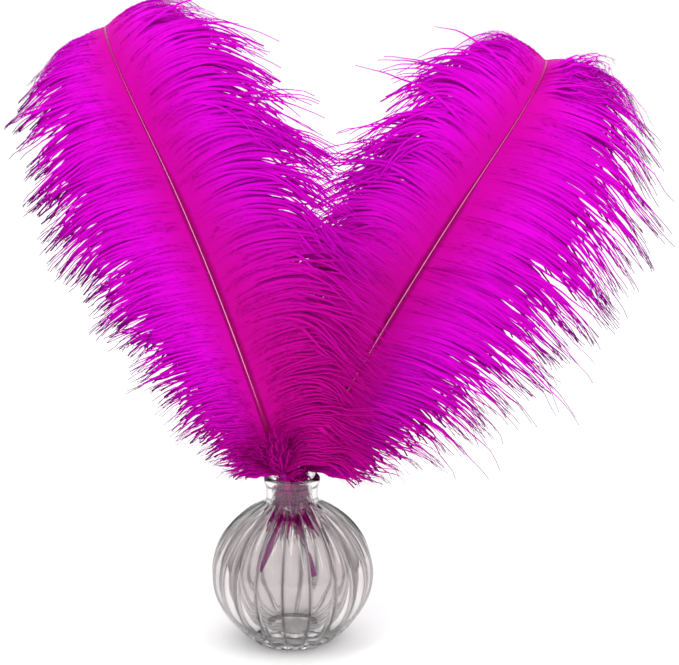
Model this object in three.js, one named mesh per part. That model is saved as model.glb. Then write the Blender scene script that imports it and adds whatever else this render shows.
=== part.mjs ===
// Pair of ostrich plumes standing in a ribbed glass bud vase. Millimetres, +Z up.
// The origin is the centre of the vase's flat foot. +X is to the right of the pair and +Y is behind it.
// Each plume is a quill that hangs in the vase, a springy shaft in two stretches, and locks of barbs:
// a lock is the flat sheet that all the barbs growing on one stretch of the shaft fill between them.
import * as THREE from "three";

// ---- driving dimensions ----
const VASE_HEIGHT = 86;
const FOOT_RADIUS = 20;
const BELLY_RADIUS = 41;
const RIB_COUNT = 18;
const RIB_DEPTH = 1.6;
const RIB_STEPS = 4;
const RIB_TURN = 14;
const MOUTH_RADIUS = 10.4;

const QUILL_LENGTH = 57;
const QUILL_RADIUS = 1.9;
const QUILL_BORE = 1.2;
const QUILL_TOP = 2;
const JOINT_GAP = 0.4;

const SHAFT_LENGTH = 288;
const SHAFT_ROOT_RADIUS = 1.5;
const SHAFT_TIP_RADIUS = 0.4;
const FLEX_AT = 150;

const BARBS_START = 11;
const LOCKS_BELOW_FLEX = 6;
const LOCKS_ABOVE_FLEX = 6;
const LOCK_GAP = 0.6;
const LOCK_ROOT_THICKNESS = 1;
const LOCK_END_THICKNESS = 0.6;
const LOCK_STEPS = 7;
const SHAFT_CLEARANCE = 0.6;

// hand is -1 for the plume that leans left and 1 for the one that leans right. Angles are in degrees and
// barb lengths in millimetres: outer barbs are on the side that the plume leans to.
const PLUMES = [
  {
    name: "left", hand: -1, mouth: [-3.9, -4, VASE_HEIGHT], lean: 17.5, leanGain: 17, leanPower: 2,
    tilt: -4.6, curlFrom: 180, curl: 130, outerBarb: 70, innerBarb: 98, outerDroop: 0.46, innerDroop: 0.53,
  },
  {
    name: "right", hand: 1, mouth: [5.4, 4, VASE_HEIGHT], lean: 25.5, leanGain: 10, leanPower: 0.5,
    tilt: 4.6, curlFrom: 190, curl: 130, outerBarb: 95, innerBarb: 88, outerDroop: 0.58, innerDroop: 0.5,
  },
];

const DOWN = new THREE.Vector3(0, 0, -1);
const BACK = new THREE.Vector3(0, 1, 0);
const radians = THREE.MathUtils.degToRad;
const smooth = (x) => THREE.MathUtils.smoothstep(x, 0, 1);

// ---- materials ----
const glass = new THREE.MeshStandardMaterial({
  color: 0xe8eeec, roughness: 0.05, metalness: 0, transparent: true, opacity: 0.35,
});
const horn = new THREE.MeshStandardMaterial({ color: 0xa8406f, roughness: 0.35, metalness: 0 });
const barb = new THREE.MeshStandardMaterial({ color: 0xc804b4, roughness: 0.8, metalness: 0 });

// ---- vase ----
// The wall's profile runs from the middle of the foot up the outside, over the lip and down the inside.
function vaseProfile() {
  const outside = [
    [0, 0], [FOOT_RADIUS - 1.5, 0], [FOOT_RADIUS + 1.5, 1.2], [28, 7], [35, 15], [39.6, 25],
    [BELLY_RADIUS, 34], [40, 43], [36.6, 52], [31, 60], [24, 66.5], [17, 70.6], [13.4, 72.6],
  ];
  const neck = [
    [13.1, 75], [13.2, 79.5], [13.8, 82], [14.2, 83.6], [14, 85.2], [13, VASE_HEIGHT], [11.6, VASE_HEIGHT],
    [MOUTH_RADIUS, 84.8], [MOUTH_RADIUS - 0.3, 79], [MOUTH_RADIUS, 73.4],
  ];
  const inside = [
    [13, 70], [20, 65.4], [27, 59], [33, 50], [36.4, 41], [36.8, 33], [34.6, 23.5], [29, 14.5], [20, 9], [0, 7.5],
  ];
  const ribbed = outside.length;
  const points = [...outside, ...neck, ...inside].map(([r, z]) => new THREE.Vector2(r, z));
  return { points, ribbed };
}

function makeVase() {
  const { points, ribbed } = vaseProfile();
  const geometry = new THREE.LatheGeometry(points, RIB_COUNT * RIB_STEPS, radians(RIB_TURN));
  const position = geometry.getAttribute("position");
  const v = new THREE.Vector3();
  for (let i = 0; i < position.count; i++) {
    v.fromBufferAttribute(position, i);
    const level = i % points.length;
    const r = Math.hypot(v.x, v.z);
    if (level > 0 && level < ribbed && r > 0) {
      const around = Math.atan2(v.x, v.z) - radians(RIB_TURN);
      const valley = 1 - Math.abs(Math.sin((around * RIB_COUNT) / 2));
      const fade = smooth(v.y / 9 + 0.35) * smooth((73 - v.y) / 10);
      const k = (r - RIB_DEPTH * valley * fade) / r;
      position.setXYZ(i, v.x * k, v.y, v.z * k);
    }
  }
  geometry.rotateX(Math.PI / 2);
  const mesh = new THREE.Mesh(geometry, glass);
  mesh.name = "vase";
  return mesh;
}

// ---- the line of a plume's shaft ----
// Walks along the shaft in 1 mm steps. The shaft leans sideways in its own plane and then curls back.
function shaftLine(plume) {
  const at = new THREE.Vector3(...plume.mouth);
  const frames = [];
  for (let s = 0; s <= SHAFT_LENGTH; s++) {
    const lean = radians(plume.lean + plume.leanGain * (s / SHAFT_LENGTH) ** plume.leanPower);
    const curled = Math.max(0, (s - plume.curlFrom) / (SHAFT_LENGTH - plume.curlFrom));
    const nod = radians(plume.tilt + plume.curl * curled ** 1.2);
    const up = new THREE.Vector3(plume.hand * Math.sin(lean), 0, Math.cos(lean));
    const along = up.clone().multiplyScalar(Math.cos(nod)).addScaledVector(BACK, Math.sin(nod));
    const across = new THREE.Vector3(Math.cos(lean), 0, -plume.hand * Math.sin(lean));
    frames.push({ at: at.clone(), along, across, face: new THREE.Vector3().crossVectors(along, across) });
    at.add(along);
  }
  return frames;
}

// The frame at any distance s from the mouth. Below the mouth the quill is straight.
function frameAt(frames, s) {
  if (s <= 0) {
    const first = frames[0];
    return { ...first, at: first.at.clone().addScaledVector(first.along, s) };
  }
  const i = Math.min(Math.floor(s), frames.length - 2);
  const t = s - i;
  const mix = (key) => frames[i][key].clone().lerp(frames[i + 1][key], t);
  return { at: mix("at"), along: mix("along"), across: mix("across"), face: mix("face") };
}

const shaftRadius = (s) =>
  THREE.MathUtils.lerp(SHAFT_ROOT_RADIUS, SHAFT_TIP_RADIUS, Math.max(0, s) / SHAFT_LENGTH);

// Bends a geometry modelled along +Y, where y is the distance s, to follow the shaft.
function bendAlong(geometry, frames) {
  const position = geometry.getAttribute("position");
  const v = new THREE.Vector3();
  for (let i = 0; i < position.count; i++) {
    v.fromBufferAttribute(position, i);
    const f = frameAt(frames, v.y);
    const p = f.at.clone().addScaledVector(f.across, v.x).addScaledVector(f.face, -v.z);
    position.setXYZ(i, p.x, p.y, p.z);
  }
  return geometry;
}

function makeShaft(frames, name, from, to, steps) {
  const length = to - from;
  const geometry = new THREE.CylinderGeometry(shaftRadius(to), shaftRadius(from), length, 8, steps);
  geometry.translate(0, from + length / 2, 0);
  const mesh = new THREE.Mesh(bendAlong(geometry, frames), horn);
  mesh.name = name;
  return mesh;
}

// The quill is a hollow horn tube, cut open at its foot.
function makeQuill(frames, name) {
  const foot = QUILL_TOP - QUILL_LENGTH;
  const profile = [
    [0, foot + 40], [QUILL_BORE, foot + 36], [QUILL_BORE, foot + 0.6], [QUILL_RADIUS - 0.4, foot],
    [QUILL_RADIUS, foot + 8], [QUILL_RADIUS, QUILL_TOP - 8], [SHAFT_ROOT_RADIUS + 0.1, QUILL_TOP], [0, QUILL_TOP],
  ].map(([r, s]) => new THREE.Vector2(r, s));
  const mesh = new THREE.Mesh(bendAlong(new THREE.LatheGeometry(profile, 12), frames), horn);
  mesh.name = name;
  return mesh;
}

// ---- barbs ----
// Barbs are short near the mouth, longest over the upper half, and short again at the curled tip.
function barbLength(longest, s) {
  const grown = Math.min(1, 0.3 + 0.7 * Math.min(1, s / 150) ** 0.6);
  const tip = Math.max(0, (s - 180) / (SHAFT_LENGTH - 180));
  return longest * grown * (1 - 0.6 * tip ** 1.4);
}

// The middle barb of a lock leaves the shaft at a steep angle and turns towards the ground as it goes out.
// side is -1 for the left of the shaft and 1 for the right.
function barbLine(plume, frames, side, s) {
  const outer = side === plume.hand;
  const f = frameAt(frames, s);
  const length = barbLength(outer ? plume.outerBarb : plume.innerBarb, s);
  const droop = outer ? plume.outerDroop : plume.innerDroop;
  const spread = radians(68 - 18 * (s / SHAFT_LENGTH) ** 3);
  const start = f.along.clone().multiplyScalar(Math.cos(spread))
    .addScaledVector(f.across, side * Math.sin(spread))
    .addScaledVector(f.face, -0.16).normalize();
  const end = start.clone().multiplyScalar(1 - droop).addScaledVector(DOWN, droop).normalize();
  const root = f.at.clone().addScaledVector(start, shaftRadius(s) + SHAFT_CLEARANCE);
  return {
    start, along: f.along,
    direction: (u) => start.clone().multiplyScalar(1 - u).addScaledVector(end, u).normalize(),
    point: (u) => root.clone().addScaledVector(start, length * (u - (u * u) / 2))
      .addScaledVector(end, (length * u * u) / 2),
  };
}

// A lock is a ribbon along its middle barb. It is as wide at its root as its stretch of shaft, and narrows
// to a finger at its free end.
const lockWidth = (u) => (1 - 0.22 * u) * (1 - 0.7 * u ** 4);

function makeLock(plume, frames, name, side, from, to) {
  const geometry = new THREE.BoxGeometry(1, 1, 1, LOCK_STEPS, 1, 1);
  const position = geometry.getAttribute("position");
  const line = barbLine(plume, frames, side, (from + to) / 2);
  const rootWidth = to - from - LOCK_GAP;
  const turn = new THREE.Quaternion();
  for (let i = 0; i < position.count; i++) {
    const u = position.getX(i) + 0.5;
    const ahead = line.direction(u);
    turn.setFromUnitVectors(line.start, ahead);
    const wide = line.along.clone().applyQuaternion(turn);
    const normal = ahead.clone().cross(wide).normalize();
    const thickness = THREE.MathUtils.lerp(LOCK_ROOT_THICKNESS, LOCK_END_THICKNESS, u);
    const p = line.point(u)
      .addScaledVector(wide, position.getY(i) * rootWidth * lockWidth(u))
      .addScaledVector(normal, position.getZ(i) * thickness);
    position.setXYZ(i, p.x, p.y, p.z);
  }
  const mesh = new THREE.Mesh(geometry, barb);
  mesh.name = name;
  return mesh;
}

// ---- a whole plume ----
function makePlume(plume) {
  const group = new THREE.Group();
  const frames = shaftLine(plume);
  group.add(makeQuill(frames, `${plume.name}_quill`));
  const flexGap = JOINT_GAP / 2;
  group.add(makeShaft(frames, `${plume.name}_shaft`, QUILL_TOP + JOINT_GAP, FLEX_AT - flexGap, 10));
  group.add(makeShaft(frames, `${plume.name}_tip_shaft`, FLEX_AT + flexGap, SHAFT_LENGTH - 0.5, 16));
  const stretches = [
    { prefix: `${plume.name}`, from: BARBS_START, to: FLEX_AT, count: LOCKS_BELOW_FLEX },
    { prefix: `${plume.name}_tip`, from: FLEX_AT, to: SHAFT_LENGTH - 3, count: LOCKS_ABOVE_FLEX },
  ];
  for (const { prefix, from, to, count } of stretches) {
    const pitch = (to - from) / count;
    for (let i = 0; i < count; i++) {
      for (const side of [-1, 1]) {
        const where = side === plume.hand ? "outer" : "inner";
        const name = `${prefix}_${where}_barbs_${i + 1}`;
        group.add(makeLock(plume, frames, name, side, from + i * pitch, from + (i + 1) * pitch));
      }
    }
  }
  return group;
}

const root = new THREE.Group();
root.add(makeVase());
for (const plume of PLUMES) root.add(makePlume(plume));

export default root;
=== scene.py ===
import math

import bmesh
import bpy
import numpy as np
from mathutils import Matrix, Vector


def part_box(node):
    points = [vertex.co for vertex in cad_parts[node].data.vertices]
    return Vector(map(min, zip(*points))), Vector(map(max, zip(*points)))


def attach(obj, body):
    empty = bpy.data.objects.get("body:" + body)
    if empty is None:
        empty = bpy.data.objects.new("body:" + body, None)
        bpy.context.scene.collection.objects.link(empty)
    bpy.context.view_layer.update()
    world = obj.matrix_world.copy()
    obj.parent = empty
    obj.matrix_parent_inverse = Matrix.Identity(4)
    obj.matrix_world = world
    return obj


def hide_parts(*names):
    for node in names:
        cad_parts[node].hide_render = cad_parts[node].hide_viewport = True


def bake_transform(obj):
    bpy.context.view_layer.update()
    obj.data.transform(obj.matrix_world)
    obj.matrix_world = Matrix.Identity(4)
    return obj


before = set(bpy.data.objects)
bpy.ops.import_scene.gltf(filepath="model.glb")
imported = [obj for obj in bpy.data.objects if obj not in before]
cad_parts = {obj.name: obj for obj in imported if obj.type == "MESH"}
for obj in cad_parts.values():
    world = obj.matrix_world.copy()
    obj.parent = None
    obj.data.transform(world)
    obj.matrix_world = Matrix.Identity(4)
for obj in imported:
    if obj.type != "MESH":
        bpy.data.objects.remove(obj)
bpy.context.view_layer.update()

# ---- Where it stands ----
# A sweep of matt white board under a studio tent that is brightest overhead. Three broad soft lights stand
# round it, and two upright strip lights put long glints on the glass.
TENT_TOP, TENT_LOW = 1.2, 0.3
TENT_BAND = (0.02, 0.42)
BACKDROP = 1.0
BOARD_SIZE = 60.0
BOARD_WHITE = (0.93, 0.93, 0.93, 1)
# Each light: where it is, what it points at, its width, its height and its power in watts.
LIGHTS = {
    "key_light": ((-0.9, -1.1, 1.5), (0, 0, 0.16), 1.6, 1.6, 4.6),
    "fill_light": ((1.3, -0.7, 0.9), (0, 0, 0.16), 1.4, 1.4, 3),
    "back_light": ((0.2, 1.2, 1.3), (0, 0, 0.18), 1.4, 1.4, 3.5),
    "left_strip": ((-0.28, -0.42, 1.05), (0, 0, 0.06), 0.14, 0.8, 1.9),
    "right_strip": ((0.60, -0.50, 0.75), (0, 0, 0.05), 0.12, 0.8, 1.5),
}
CAMERA_AT = (0.02375, -1.0, 0.390)
CAMERA_LOOKS_DOWN = 13
CAMERA_LENS, CAMERA_SENSOR = 110.5, 36

scene = bpy.context.scene
scene.view_settings.view_transform = "Standard"
scene.view_settings.look = "None"


def node_in(tree, kind, values=None, **settings):
    """A new node with these settings. Each input takes its value, or a link if the value is a socket."""
    node = tree.nodes.new(kind)
    for key, value in settings.items():
        setattr(node, key, value)
    for key, value in (values or {}).items():
        if isinstance(value, bpy.types.NodeSocket):
            tree.links.new(value, node.inputs[key])
        else:
            node.inputs[key].default_value = value
    return node


def shaded(name, values):
    """A new material, its node tree and its shader, with the shader's inputs set to these values."""
    material = bpy.data.materials.new(name)
    material.use_nodes = True
    shader = material.node_tree.nodes["Principled BSDF"]
    for key, value in values.items():
        shader.inputs[key].default_value = value
    return material, material.node_tree, shader


def put_up_tent():
    tent = bpy.data.worlds.new("studio_tent")
    tent.use_nodes = True
    scene.world = tent
    tree = tent.node_tree
    tree.nodes.clear()
    way = node_in(tree, "ShaderNodeTexCoord").outputs["Generated"]
    height = node_in(tree, "ShaderNodeSeparateXYZ", {"Vector": way}).outputs["Z"]
    ramp = node_in(tree, "ShaderNodeValToRGB", {"Fac": height})
    for stop, position, light in zip(ramp.color_ramp.elements, TENT_BAND, (TENT_LOW, TENT_TOP)):
        stop.position = position
        stop.color = (light, light, light, 1)
    light = node_in(tree, "ShaderNodeBackground", {"Color": ramp.outputs["Color"]})
    backdrop = node_in(tree, "ShaderNodeBackground", {"Color": (1, 1, 1, 1), "Strength": BACKDROP})
    seen = node_in(tree, "ShaderNodeLightPath").outputs["Is Camera Ray"]
    pick = node_in(tree, "ShaderNodeMixShader", {
        "Fac": seen, 1: light.outputs["Background"], 2: backdrop.outputs["Background"],
    })
    node_in(tree, "ShaderNodeOutputWorld", {"Surface": pick.outputs["Shader"]})


def lay_board():
    half = BOARD_SIZE / 2
    mesh = bpy.data.meshes.new("board")
    corners = [(-half, -half, 0), (half, -half, 0), (half, half, 0), (-half, half, 0)]
    mesh.from_pydata(corners, [], [(0, 1, 2, 3)])
    board = bpy.data.objects.new("board", mesh)
    scene.collection.objects.link(board)
    matt = {"Base Color": BOARD_WHITE, "Roughness": 0.9, "Specular IOR Level": 0.1}
    mesh.materials.append(shaded("matt_board", matt)[0])


def hang_light(name, at, aim, width, height, watts):
    lamp = bpy.data.lights.new(name, "AREA")
    lamp.shape = "RECTANGLE"
    lamp.size, lamp.size_y = width, height
    lamp.energy = watts
    holder = bpy.data.objects.new(name, lamp)
    scene.collection.objects.link(holder)
    holder.location = at
    holder.rotation_mode = "QUATERNION"
    holder.rotation_quaternion = (Vector(aim) - Vector(at)).to_track_quat("-Z", "Y")


put_up_tent()
lay_board()
for light_name, light_values in LIGHTS.items():
    hang_light(light_name, *light_values)

lens = bpy.data.cameras.new("camera")
lens.lens = CAMERA_LENS
lens.sensor_width = CAMERA_SENSOR
lens.clip_start = 0.01
lens.clip_end = 50
camera = bpy.data.objects.new("camera", lens)
scene.collection.objects.link(camera)
camera.location = CAMERA_AT
camera.rotation_euler = (math.radians(90 - CAMERA_LOOKS_DOWN), 0, 0)
scene.camera = camera

# ---- The vase ----
# One piece of pressed clear glass: a ball with rounded upright ribs, a thick foot, a short plain neck and
# a rolled lip. It stands free, and both quills hang in it.
VASE_RIBS = 18
RIB_TURN = 14
RIB_CUT, RIB_INSIDE_CUT = 0.0019, 0.0018
RIB_COLUMNS = 14
RIBS_FADE, RIBS_END = 0.0625, 0.0735
WALL_STEP, INSIDE_STEP = 0.0012, 0.00168
GLASS_IOR = 1.5
GLASS_CLEAR = (0.675, 0.635, 0.635, 1)
# Painted shade on the glass: dark lines along the grooves, and a darker tone where the glass is seen at a
# slant.
GLASS_GROOVE_SHADE = (0.05, 0.048, 0.046, 1)
GLASS_EDGE_SHADE = (0.15, 0.145, 0.14, 1)
GLASS_THICK = (0.97, 0.965, 0.96, 1)
GLASS_NECK = (0.86, 0.85, 0.85, 1)
# The glass's tint at each share of the vase's height.
GLASS_TINTS = [
    (0.0, GLASS_THICK), (0.12, GLASS_THICK), (0.42, GLASS_CLEAR), (0.76, GLASS_CLEAR), (0.86, GLASS_NECK),
]
# How narrow the painted lines in the grooves are, and the slant over which the painted edge shade comes in.
GROOVE_SHARPNESS = 6.0
EDGE_SHADE_FROM, EDGE_SHADE_TO = 0.42, 0.9

VASE_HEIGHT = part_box("vase")[1].z
OUTER_WALL = [
    (0, 0.0016), (0.012, 0.0012), (0.0178, 0), (0.0198, 0.0004), (0.0226, 0.0026), (0.028, 0.0072),
    (0.0346, 0.0152), (0.0392, 0.0246), (0.041, 0.0345), (0.0399, 0.0436), (0.0366, 0.0522), (0.031, 0.0602),
    (0.0242, 0.0664), (0.0176, 0.0704), (0.0138, 0.0727), (0.0131, 0.0752), (0.0132, 0.0792),
    (0.0135, 0.0812), (0.0141, 0.0828), (0.0142, 0.0846), (0.0132, 0.0858),
]
INNER_WALL = [
    (0.0122, VASE_HEIGHT), (0.011, 0.0856), (0.0104, 0.0844), (0.0101, 0.079), (0.0105, 0.0738),
    (0.0136, 0.0698), (0.02, 0.0652), (0.027, 0.0588), (0.033, 0.0498), (0.0364, 0.0408), (0.0368, 0.033),
    (0.0346, 0.0238), (0.029, 0.0148), (0.0205, 0.0094), (0.009, 0.0078), (0, 0.0076),
]


def rounded_path(points, step):
    """The points joined by a smooth curve through all of them, with a point at about every step."""
    pts = [np.array(p, float) for p in points]
    ends = [2 * pts[0] - pts[1], *pts, 2 * pts[-1] - pts[-2]]
    path = []
    for a, b, c, d in zip(ends, ends[1:], ends[2:], ends[3:]):
        ta, tb = 0.0, np.linalg.norm(b - a) ** 0.5
        tc = tb + np.linalg.norm(c - b) ** 0.5
        td = tc + np.linalg.norm(d - c) ** 0.5
        n = max(2, round(np.linalg.norm(c - b) / step))
        for i in range(n):
            t = tb + (tc - tb) * i / n
            ab = a + (b - a) * (t - ta) / (tb - ta)
            bc = b + (c - b) * (t - tb) / (tc - tb)
            cd = c + (d - c) * (t - tc) / (td - tc)
            abc = ab + (bc - ab) * (t - ta) / (tc - ta)
            bcd = bc + (cd - bc) * (t - tb) / (td - tb)
            path.append(abc + (bcd - abc) * (t - tb) / (tc - tb))
    path.append(pts[-1])
    return np.array(path)


def rise(x, low, high):
    """0 below low, 1 above high, and a smooth climb between them."""
    x = np.clip((x - low) / (high - low), 0, 1)
    return x * x * (3 - 2 * x)


def rib_relief(z, angle):
    """How deep the grooves between the ribs are at a height: 0 on a crest, 1 in a groove."""
    groove = 1 - np.abs(np.sin((angle - math.radians(RIB_TURN)) * VASE_RIBS / 2)) ** 0.8
    return groove * rise(z, -0.0008, 0.0052) * rise(z, RIBS_END, RIBS_FADE)


def new_piece(name, points, faces):
    mesh = bpy.data.meshes.new(name)
    mesh.from_pydata([tuple(p) for p in points], [], faces)
    mesh.validate()
    mesh.polygons.foreach_set("use_smooth", [True] * len(mesh.polygons))
    piece = bpy.data.objects.new(name, mesh)
    scene.collection.objects.link(piece)
    return piece


def turn_vase():
    outer, inner = rounded_path(OUTER_WALL, WALL_STEP), rounded_path(INNER_WALL, INSIDE_STEP)
    wall = np.vstack([outer, inner])
    columns = VASE_RIBS * RIB_COLUMNS
    around = np.arange(columns) / columns * 2 * math.pi + math.radians(RIB_TURN)
    points, faces = [(0, 0, wall[0][1])], []
    for level, (r, z) in enumerate(wall[1:-1], start=1):
        cut = RIB_CUT if level < len(outer) else RIB_INSIDE_CUT
        radius = np.maximum(r - cut * rib_relief(z, around), 0.0002)
        points += [(a * math.sin(t), -a * math.cos(t), z) for a, t in zip(radius, around)]
    points.append((0, 0, wall[-1][1]))
    rings = len(wall) - 2
    for c in range(columns):
        d = (c + 1) % columns
        faces.append((0, 1 + d, 1 + c))
        for k in range(rings - 1):
            low, high = 1 + k * columns, 1 + (k + 1) * columns
            faces.append((low + c, low + d, high + d, high + c))
        last = 1 + (rings - 1) * columns
        faces.append((last + c, last + d, len(points) - 1))
    return new_piece("vase_glass", points, faces)


def maths_in(tree):
    """A call that adds a Math node to the tree and gives its output."""
    def maths(operation, *terms, **settings):
        node = node_in(tree, "ShaderNodeMath", dict(enumerate(terms)), operation=operation, **settings)
        return node.outputs[0]
    return maths


def vector_maths_in(tree):
    """A call that adds a Vector Math node to the tree and gives its output."""
    def vectors(operation, first, second):
        second_at = "Scale" if operation == "SCALE" else 1
        node = node_in(tree, "ShaderNodeVectorMath", {0: first, second_at: second}, operation=operation)
        return node.outputs[0]
    return vectors


def ranged(tree, value, low, high, to_low=0.0, to_high=1.0, curve="SMOOTHSTEP"):
    """The value, taken from low and high to to_low and to_high, and held at both ends."""
    return node_in(tree, "ShaderNodeMapRange", {
        "Value": value, "From Min": low, "From Max": high, "To Min": to_low, "To Max": to_high,
    }, interpolation_type=curve).outputs["Result"]


def mixed(tree, amount, under, over):
    node = node_in(tree, "ShaderNodeMix", {"Factor": amount, 6: under, 7: over}, data_type="RGBA")
    return node.outputs[2]


def clear_glass():
    """Clear pressed glass, faintly wavy and a trace dull in places, with painted shade: dark lines along the
    grooves and a darker tone where it is seen at a slant.
    """
    material, tree, bsdf = shaded("clear_glass", {"Transmission Weight": 1.0, "IOR": GLASS_IOR})
    maths, link = maths_in(tree), tree.links.new
    place = node_in(tree, "ShaderNodeTexCoord").outputs["Object"]
    split = node_in(tree, "ShaderNodeSeparateXYZ", {"Vector": place})
    height = split.outputs["Z"]
    angle = maths("ARCTAN2", split.outputs["X"], maths("MULTIPLY", split.outputs["Y"], -1.0))
    wave = maths("SINE", maths("MULTIPLY", maths("SUBTRACT", angle, math.radians(RIB_TURN)), VASE_RIBS / 2))
    groove = maths("POWER", maths("SUBTRACT", 1.0, maths("ABSOLUTE", wave)), GROOVE_SHARPNESS)
    tint = node_in(tree, "ShaderNodeValToRGB", {"Fac": maths("DIVIDE", height, VASE_HEIGHT)})
    stops = tint.color_ramp.elements
    while len(stops) < len(GLASS_TINTS):
        stops.new(1.0)
    for stop, (position, colour) in zip(stops, GLASS_TINTS):
        stop.position = position
        stop.color = colour
    ribbed = ranged(tree, height, RIBS_END, RIBS_FADE)
    # Painted shade: dark lines along the grooves between the ribs.
    groove_shaded = mixed(tree, maths("MULTIPLY", groove, ribbed), tint.outputs["Color"], GLASS_GROOVE_SHADE)
    slant = node_in(tree, "ShaderNodeLayerWeight", {"Blend": 0.5}).outputs["Facing"]
    # Painted shade: darker where the glass is seen at a slant.
    edge_shaded = mixed(tree, ranged(tree, slant, EDGE_SHADE_FROM, EDGE_SHADE_TO), groove_shaded, GLASS_EDGE_SHADE)
    waves = node_in(tree, "ShaderNodeTexNoise", {"Vector": place, "Scale": 60, "Detail": 1.5}).outputs["Fac"]
    bump = node_in(tree, "ShaderNodeBump", {"Height": waves, "Strength": 0.12, "Distance": 0.0006})
    link(edge_shaded, bsdf.inputs["Base Color"])
    link(ranged(tree, waves, 0, 1, 0, 0.012, "LINEAR"), bsdf.inputs["Roughness"])
    link(bump.outputs["Normal"], bsdf.inputs["Normal"])
    return material


vase = turn_vase()
vase.data.materials.append(clear_glass())
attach(vase, "vase")
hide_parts("vase")

# ---- The line that each plume grows on ----
# An ostrich plume has one shaft. It leans out of the mouth, bends a little further as it rises, and its
# tip curls over to the back. Everything on the plume is placed from this line.
SHAFT_LENGTH = 0.288
SHAFT_ROOT_RADIUS = 0.0015
SHAFT_TIP_RADIUS = 0.0004
QUILL_LENGTH = 0.057
PLUMES = {
    "left": {
        "hand": -1, "mouth": (-0.0039, -0.004, VASE_HEIGHT), "lean": 17.5, "lean_gain": 17, "lean_power": 2,
        "tilt": -4.6, "curl_from": 0.180, "curl": 130,
    },
    "right": {
        "hand": 1, "mouth": (0.0054, 0.004, VASE_HEIGHT), "lean": 25.5, "lean_gain": 10, "lean_power": 0.5,
        "tilt": 4.6, "curl_from": 0.190, "curl": 130,
    },
}
LINE_STEP = 0.001


def shaft_line(plume):
    """Points, directions and sideways and back-facing directions at every millimetre up the shaft."""
    at, line = np.array(plume["mouth"], float), []
    for i in range(round(SHAFT_LENGTH / LINE_STEP) + 1):
        s = i * LINE_STEP
        lean = math.radians(plume["lean"] + plume["lean_gain"] * (s / SHAFT_LENGTH) ** plume["lean_power"])
        curled = max(0.0, (s - plume["curl_from"]) / (SHAFT_LENGTH - plume["curl_from"]))
        nod = math.radians(plume["tilt"] + plume["curl"] * curled**1.2)
        hand = plume["hand"]
        along = np.array(
            [hand * math.sin(lean) * math.cos(nod), math.sin(nod), math.cos(lean) * math.cos(nod)]
        )
        across = np.array([math.cos(lean), 0, -hand * math.sin(lean)])
        line.append((at.copy(), along, across, np.cross(along, across)))
        at = at + along * LINE_STEP
    return line


def frame_on(line, s):
    if s <= 0:
        at, along, across, face = line[0]
        return at + along * s, along, across, face
    i = min(int(s / LINE_STEP), len(line) - 2)
    t = s / LINE_STEP - i
    return tuple(a * (1 - t) + b * t for a, b in zip(line[i], line[i + 1]))


def shaft_radius(s):
    return SHAFT_ROOT_RADIUS + (SHAFT_TIP_RADIUS - SHAFT_ROOT_RADIUS) * max(s, 0) / SHAFT_LENGTH


lines = {name: shaft_line(plume) for name, plume in PLUMES.items()}


# ---- Quills ----
# The bare foot of each plume is a hollow horn tube, cut off square and dyed with the rest. It hangs in
# the vase, held by the down that is jammed in the neck.
QUILL_RADIUS = 0.0019
QUILL_BORE = 0.0012
QUILL_TOP = 0.002
QUILL_SIDES = 20
HORN_DARK = (0.19, 0.0006, 0.06, 1)
HORN_DYED = (0.32, 0.001, 0.12, 1)
QUILL_DARK = (0.30, 0.002, 0.22, 1)
QUILL_DYED = (0.52, 0.004, 0.42, 1)
# The painted highlight down the shaft's crown: pink where it is faint, near white where it is full.
HORN_DIM_HIGHLIGHT = (0.80, 0.02, 0.46, 1)
HORN_HIGHLIGHT = (1.0, 0.46, 0.84, 1)
HORN_GLINT = (1.0, 0.12, 0.6, 1)
HORN_SHINE = {
    "Specular IOR Level": 0.3, "Specular Tint": HORN_GLINT, "Coat Weight": 0.04, "Coat Roughness": 0.12,
}
# How far round the crown the painted highlight reaches.
HIGHLIGHT_FROM, HIGHLIGHT_TO = 0.978, 0.995


def make_quill(name, line):
    foot = QUILL_TOP - QUILL_LENGTH
    outside = [
        (QUILL_RADIUS - 0.0003, foot), (QUILL_RADIUS - 0.0001, foot + 0.0004), (QUILL_RADIUS, foot + 0.004),
        (QUILL_RADIUS, foot + 0.02), (QUILL_RADIUS, -0.012), (QUILL_RADIUS - 0.0001, -0.006),
        (SHAFT_ROOT_RADIUS + 0.0001, 0.0015), (SHAFT_ROOT_RADIUS - 0.0002, QUILL_TOP),
    ]
    bore = [(QUILL_BORE, foot + 0.0003), (QUILL_BORE, foot + 0.03), (QUILL_BORE * 0.7, foot + 0.036)]
    wall = [*reversed(bore), *outside]
    points, faces = [], []
    for r, s in wall:
        at, along, across, face = frame_on(line, s)
        for k in range(QUILL_SIDES):
            t = 2 * math.pi * k / QUILL_SIDES
            points.append(at + r * (math.cos(t) * across + math.sin(t) * face))
    ends = [frame_on(line, bore[-1][1] + 0.002)[0], frame_on(line, QUILL_TOP)[0]]
    points += ends
    first, last, rings = len(points) - 2, len(points) - 1, len(wall)
    for k in range(QUILL_SIDES):
        j = (k + 1) % QUILL_SIDES
        faces.append((first, k, j))
        for i in range(rings - 1):
            low, high = i * QUILL_SIDES, (i + 1) * QUILL_SIDES
            faces.append((low + k, high + k, high + j, low + j))
        top = (rings - 1) * QUILL_SIDES
        faces.append((top + k, last, top + j))
    piece = new_piece(name, points, faces)
    tidy = bmesh.new()
    tidy.from_mesh(piece.data)
    bmesh.ops.recalc_face_normals(tidy, faces=tidy.faces)
    tidy.to_mesh(piece.data)
    tidy.free()
    return piece


def new_group(name, kind, inputs, outputs):
    """A node group with these inputs and outputs, each given by its name and its kind of socket."""
    tree = bpy.data.node_groups.new(name, kind)
    for in_out, sockets in (("INPUT", inputs), ("OUTPUT", outputs)):
        for label, socket in sockets:
            tree.interface.new_socket(label, in_out=in_out, socket_type=f"NodeSocket{socket}")
    given, made = node_in(tree, "NodeGroupInput"), node_in(tree, "NodeGroupOutput")
    return tree, given.outputs, made.inputs


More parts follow.
